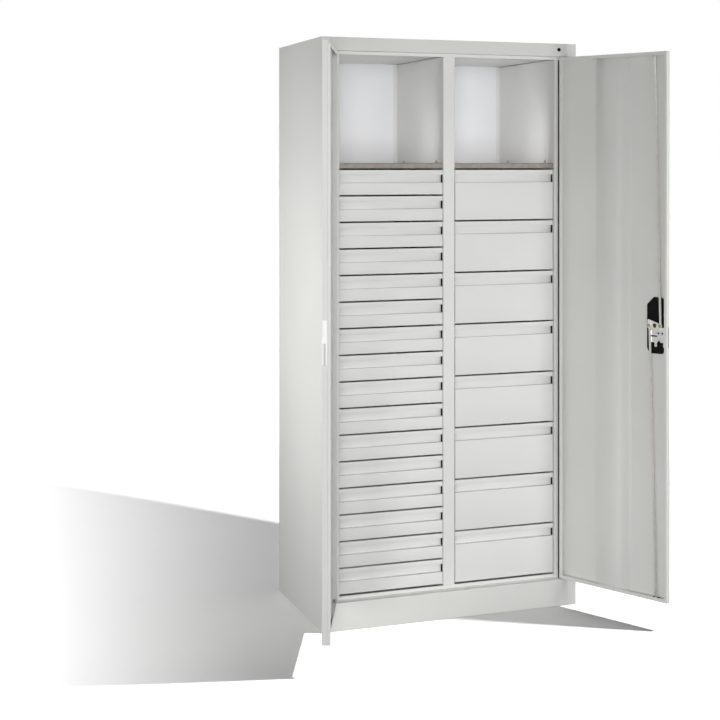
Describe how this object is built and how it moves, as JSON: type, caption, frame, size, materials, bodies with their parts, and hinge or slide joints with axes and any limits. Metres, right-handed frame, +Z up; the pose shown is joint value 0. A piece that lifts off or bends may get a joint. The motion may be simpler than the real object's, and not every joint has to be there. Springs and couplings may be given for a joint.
{
  "type": "tool cabinet",
  "caption": "Tall sheet-steel tool cabinet with two wing doors, a column of small drawers beside a column of large ones, two open compartments above and a three-point rod lock.",
  "frame": {"origin": "on the floor under the middle of the body", "axes": "+Z up, -Y out of the open front, +X to the right as seen from the front"},
  "size_m": [1.2114, 0.8847, 1.95],
  "materials": {
    "grey_sheet": "light grey powder coat, satin",
    "zinc_steel": "bright zinc",
    "yellow_zinc": "pale zinc",
    "white_plate": "matt white",
    "black_plastic": "satin black",
    "nickel": "polished"
  },
  "bodies": {
    "cabinet": {"left_side_panel": "grey_sheet", "right_side_panel": "grey_sheet", "back_panel": "grey_sheet", "top_panel": "grey_sheet", "fascia_plug": "black_plastic", "ceiling_panel": "grey_sheet", "bottom_panel": "grey_sheet", "base_channels": "zinc_steel", "levelling_feet": "black_plastic", "left_inner_wall": "grey_sheet", "right_inner_wall": "grey_sheet", "centre_partition": "grey_sheet", "drawer_rail": "grey_sheet", "left_shelf": "grey_sheet", "right_shelf": "grey_sheet", "shelf_clips": "zinc_steel", "hinge_pins": "zinc_steel", "left_outer_runners": "zinc_steel", "left_centre_runners": "zinc_steel", "right_outer_runners": "zinc_steel", "right_centre_runners": "zinc_steel"},
    "left_door": {"left_door_shell": "grey_sheet", "left_door_stiffener": "grey_sheet", "left_door_edge_channel": "grey_sheet", "strike_plate": "white_plate"},
    "right_door": {"right_door_shell": "grey_sheet", "right_door_stiffener": "grey_sheet", "lock_housing": "black_plastic", "lock_escutcheon": "black_plastic", "rod_guides": "black_plastic"},
    "handle": {"lock_handle": "black_plastic", "lock_cam": "yellow_zinc"},
    "key_barrel": {"lock_cylinder": "nickel"},
    "upper_rod": {"upper_rod": "zinc_steel"},
    "lower_rod": {"lower_rod": "zinc_steel"},
    "latch_bolt": {"latch_bolt": "zinc_steel"},
    "small_drawer_01": {"small_drawer_01": "grey_sheet"},
    "small_drawer_02": {"small_drawer_02": "grey_sheet"},
    "small_drawer_03": {"small_drawer_03": "grey_sheet"},
    "small_drawer_04": {"small_drawer_04": "grey_sheet"},
    "small_drawer_05": {"small_drawer_05": "grey_sheet"},
    "small_drawer_06": {"small_drawer_06": "grey_sheet"},
    "small_drawer_07": {"small_drawer_07": "grey_sheet"},
    "small_drawer_08": {"small_drawer_08": "grey_sheet"},
    "small_drawer_09": {"small_drawer_09": "grey_sheet"},
    "small_drawer_10": {"small_drawer_10": "grey_sheet"},
    "small_drawer_11": {"small_drawer_11": "grey_sheet"},
    "small_drawer_12": {"small_drawer_12": "grey_sheet"},
    "small_drawer_13": {"small_drawer_13": "grey_sheet"},
    "small_drawer_14": {"small_drawer_14": "grey_sheet"},
    "small_drawer_15": {"small_drawer_15": "grey_sheet"},
    "small_drawer_16": {"small_drawer_16": "grey_sheet"},
    "large_drawer_01": {"large_drawer_01": "grey_sheet"},
    "large_drawer_02": {"large_drawer_02": "grey_sheet"},
    "large_drawer_03": {"large_drawer_03": "grey_sheet"},
    "large_drawer_04": {"large_drawer_04": "grey_sheet"},
    "large_drawer_05": {"large_drawer_05": "grey_sheet"},
    "large_drawer_06": {"large_drawer_06": "grey_sheet"},
    "large_drawer_07": {"large_drawer_07": "grey_sheet"},
    "large_drawer_08": {"large_drawer_08": "grey_sheet"}
  },
  "joints": [
    {"name": "left_door_hinge", "type": "hinge", "parent": "cabinet", "child": "left_door", "pos_m": [-0.419, -0.2425, 1], "axis": [0, 0, -1], "range_deg": [-112.5, 7.5]},
    {"name": "right_door_hinge", "type": "hinge", "parent": "cabinet", "child": "right_door", "pos_m": [0.419, -0.2425, 1], "axis": [0, 0, 1], "range_deg": [-117.5, 2.5]},
    {"name": "handle_turn", "type": "hinge", "parent": "right_door", "child": "handle", "pos_m": [0.58892, -0.56892, 1], "axis": [-0.887, -0.4617, 0], "range_deg": [0, 90]},
    {"name": "key_turn", "type": "hinge", "parent": "handle", "child": "key_barrel", "pos_m": [0.58892, -0.56892, 1], "axis": [-0.887, -0.4617, 0], "range_deg": [0, 90]},
    {"name": "upper_rod_pin", "type": "hinge", "parent": "handle", "child": "upper_rod", "pos_m": [0.59839, -0.5871, 1], "axis": [-0.887, -0.4617, 0], "range_deg": [-92, 0]},
    {"name": "lower_rod_pin", "type": "hinge", "parent": "handle", "child": "lower_rod", "pos_m": [0.57946, -0.55074, 1], "axis": [-0.887, -0.4617, 0], "range_deg": [-92, 0]},
    {"name": "latch_bolt_slide", "type": "slide", "parent": "right_door", "child": "latch_bolt", "axis": [0.4617, -0.887, 0], "range_m": [0, 0.01566]},
    {"name": "small_drawer_01_slide", "type": "slide", "parent": "cabinet", "child": "small_drawer_01", "axis": [0, -1, 0], "range_m": [0, 0.33]},
    {"name": "small_drawer_02_slide", "type": "slide", "parent": "cabinet", "child": "small_drawer_02", "axis": [0, -1, 0], "range_m": [0, 0.33]},
    {"name": "small_drawer_03_slide", "type": "slide", "parent": "cabinet", "child": "small_drawer_03", "axis": [0, -1, 0], "range_m": [0, 0.33]},
    {"name": "small_drawer_04_slide", "type": "slide", "parent": "cabinet", "child": "small_drawer_04", "axis": [0, -1, 0], "range_m": [0, 0.33]},
    {"name": "small_drawer_05_slide", "type": "slide", "parent": "cabinet", "child": "small_drawer_05", "axis": [0, -1, 0], "range_m": [0, 0.33]},
    {"name": "small_drawer_06_slide", "type": "slide", "parent": "cabinet", "child": "small_drawer_06", "axis": [0, -1, 0], "range_m": [0, 0.33]},
    {"name": "small_drawer_07_slide", "type": "slide", "parent": "cabinet", "child": "small_drawer_07", "axis": [0, -1, 0], "range_m": [0, 0.33]},
    {"name": "small_drawer_08_slide", "type": "slide", "parent": "cabinet", "child": "small_drawer_08", "axis": [0, -1, 0], "range_m": [0, 0.33]},
    {"name": "small_drawer_09_slide", "type": "slide", "parent": "cabinet", "child": "small_drawer_09", "axis": [0, -1, 0], "range_m": [0, 0.33]},
    {"name": "small_drawer_10_slide", "type": "slide", "parent": "cabinet", "child": "small_drawer_10", "axis": [0, -1, 0], "range_m": [0, 0.33]},
    {"name": "small_drawer_11_slide", "type": "slide", "parent": "cabinet", "child": "small_drawer_11", "axis": [0, -1, 0], "range_m": [0, 0.33]},
    {"name": "small_drawer_12_slide", "type": "slide", "parent": "cabinet", "child": "small_drawer_12", "axis": [0, -1, 0], "range_m": [0, 0.33]},
    {"name": "small_drawer_13_slide", "type": "slide", "parent": "cabinet", "child": "small_drawer_13", "axis": [0, -1, 0], "range_m": [0, 0.33]},
    {"name": "small_drawer_14_slide", "type": "slide", "parent": "cabinet", "child": "small_drawer_14", "axis": [0, -1, 0], "range_m": [0, 0.33]},
    {"name": "small_drawer_15_slide", "type": "slide", "parent": "cabinet", "child": "small_drawer_15", "axis": [0, -1, 0], "range_m": [0, 0.33]},
    {"name": "small_drawer_16_slide", "type": "slide", "parent": "cabinet", "child": "small_drawer_16", "axis": [0, -1, 0], "range_m": [0, 0.33]},
    {"name": "large_drawer_01_slide", "type": "slide", "parent": "cabinet", "child": "large_drawer_01", "axis": [0, -1, 0], "range_m": [0, 0.33]},
    {"name": "large_drawer_02_slide", "type": "slide", "parent": "cabinet", "child": "large_drawer_02", "axis": [0, -1, 0], "range_m": [0, 0.33]},
    {"name": "large_drawer_03_slide", "type": "slide", "parent": "cabinet", "child": "large_drawer_03", "axis": [0, -1, 0], "range_m": [0, 0.33]},
    {"name": "large_drawer_04_slide", "type": "slide", "parent": "cabinet", "child": "large_drawer_04", "axis": [0, -1, 0], "range_m": [0, 0.33]},
    {"name": "large_drawer_05_slide", "type": "slide", "parent": "cabinet", "child": "large_drawer_05", "axis": [0, -1, 0], "range_m": [0, 0.33]},
    {"name": "large_drawer_06_slide", "type": "slide", "parent": "cabinet", "child": "large_drawer_06", "axis": [0, -1, 0], "range_m": [0, 0.33]},
    {"name": "large_drawer_07_slide", "type": "slide", "parent": "cabinet", "child": "large_drawer_07", "axis": [0, -1, 0], "range_m": [0, 0.33]},
    {"name": "large_drawer_08_slide", "type": "slide", "parent": "cabinet", "child": "large_drawer_08", "axis": [0, -1, 0], "range_m": [0, 0.33]}
  ],
  "couplings": [
    {"joint": "upper_rod_pin", "follows": "handle_turn", "ratio": -1.0145},
    {"joint": "lower_rod_pin", "follows": "handle_turn", "ratio": -1.0144},
    {"joint": "latch_bolt_slide", "follows": "handle_turn", "m_per_rad": 0.0099035}
  ]
}
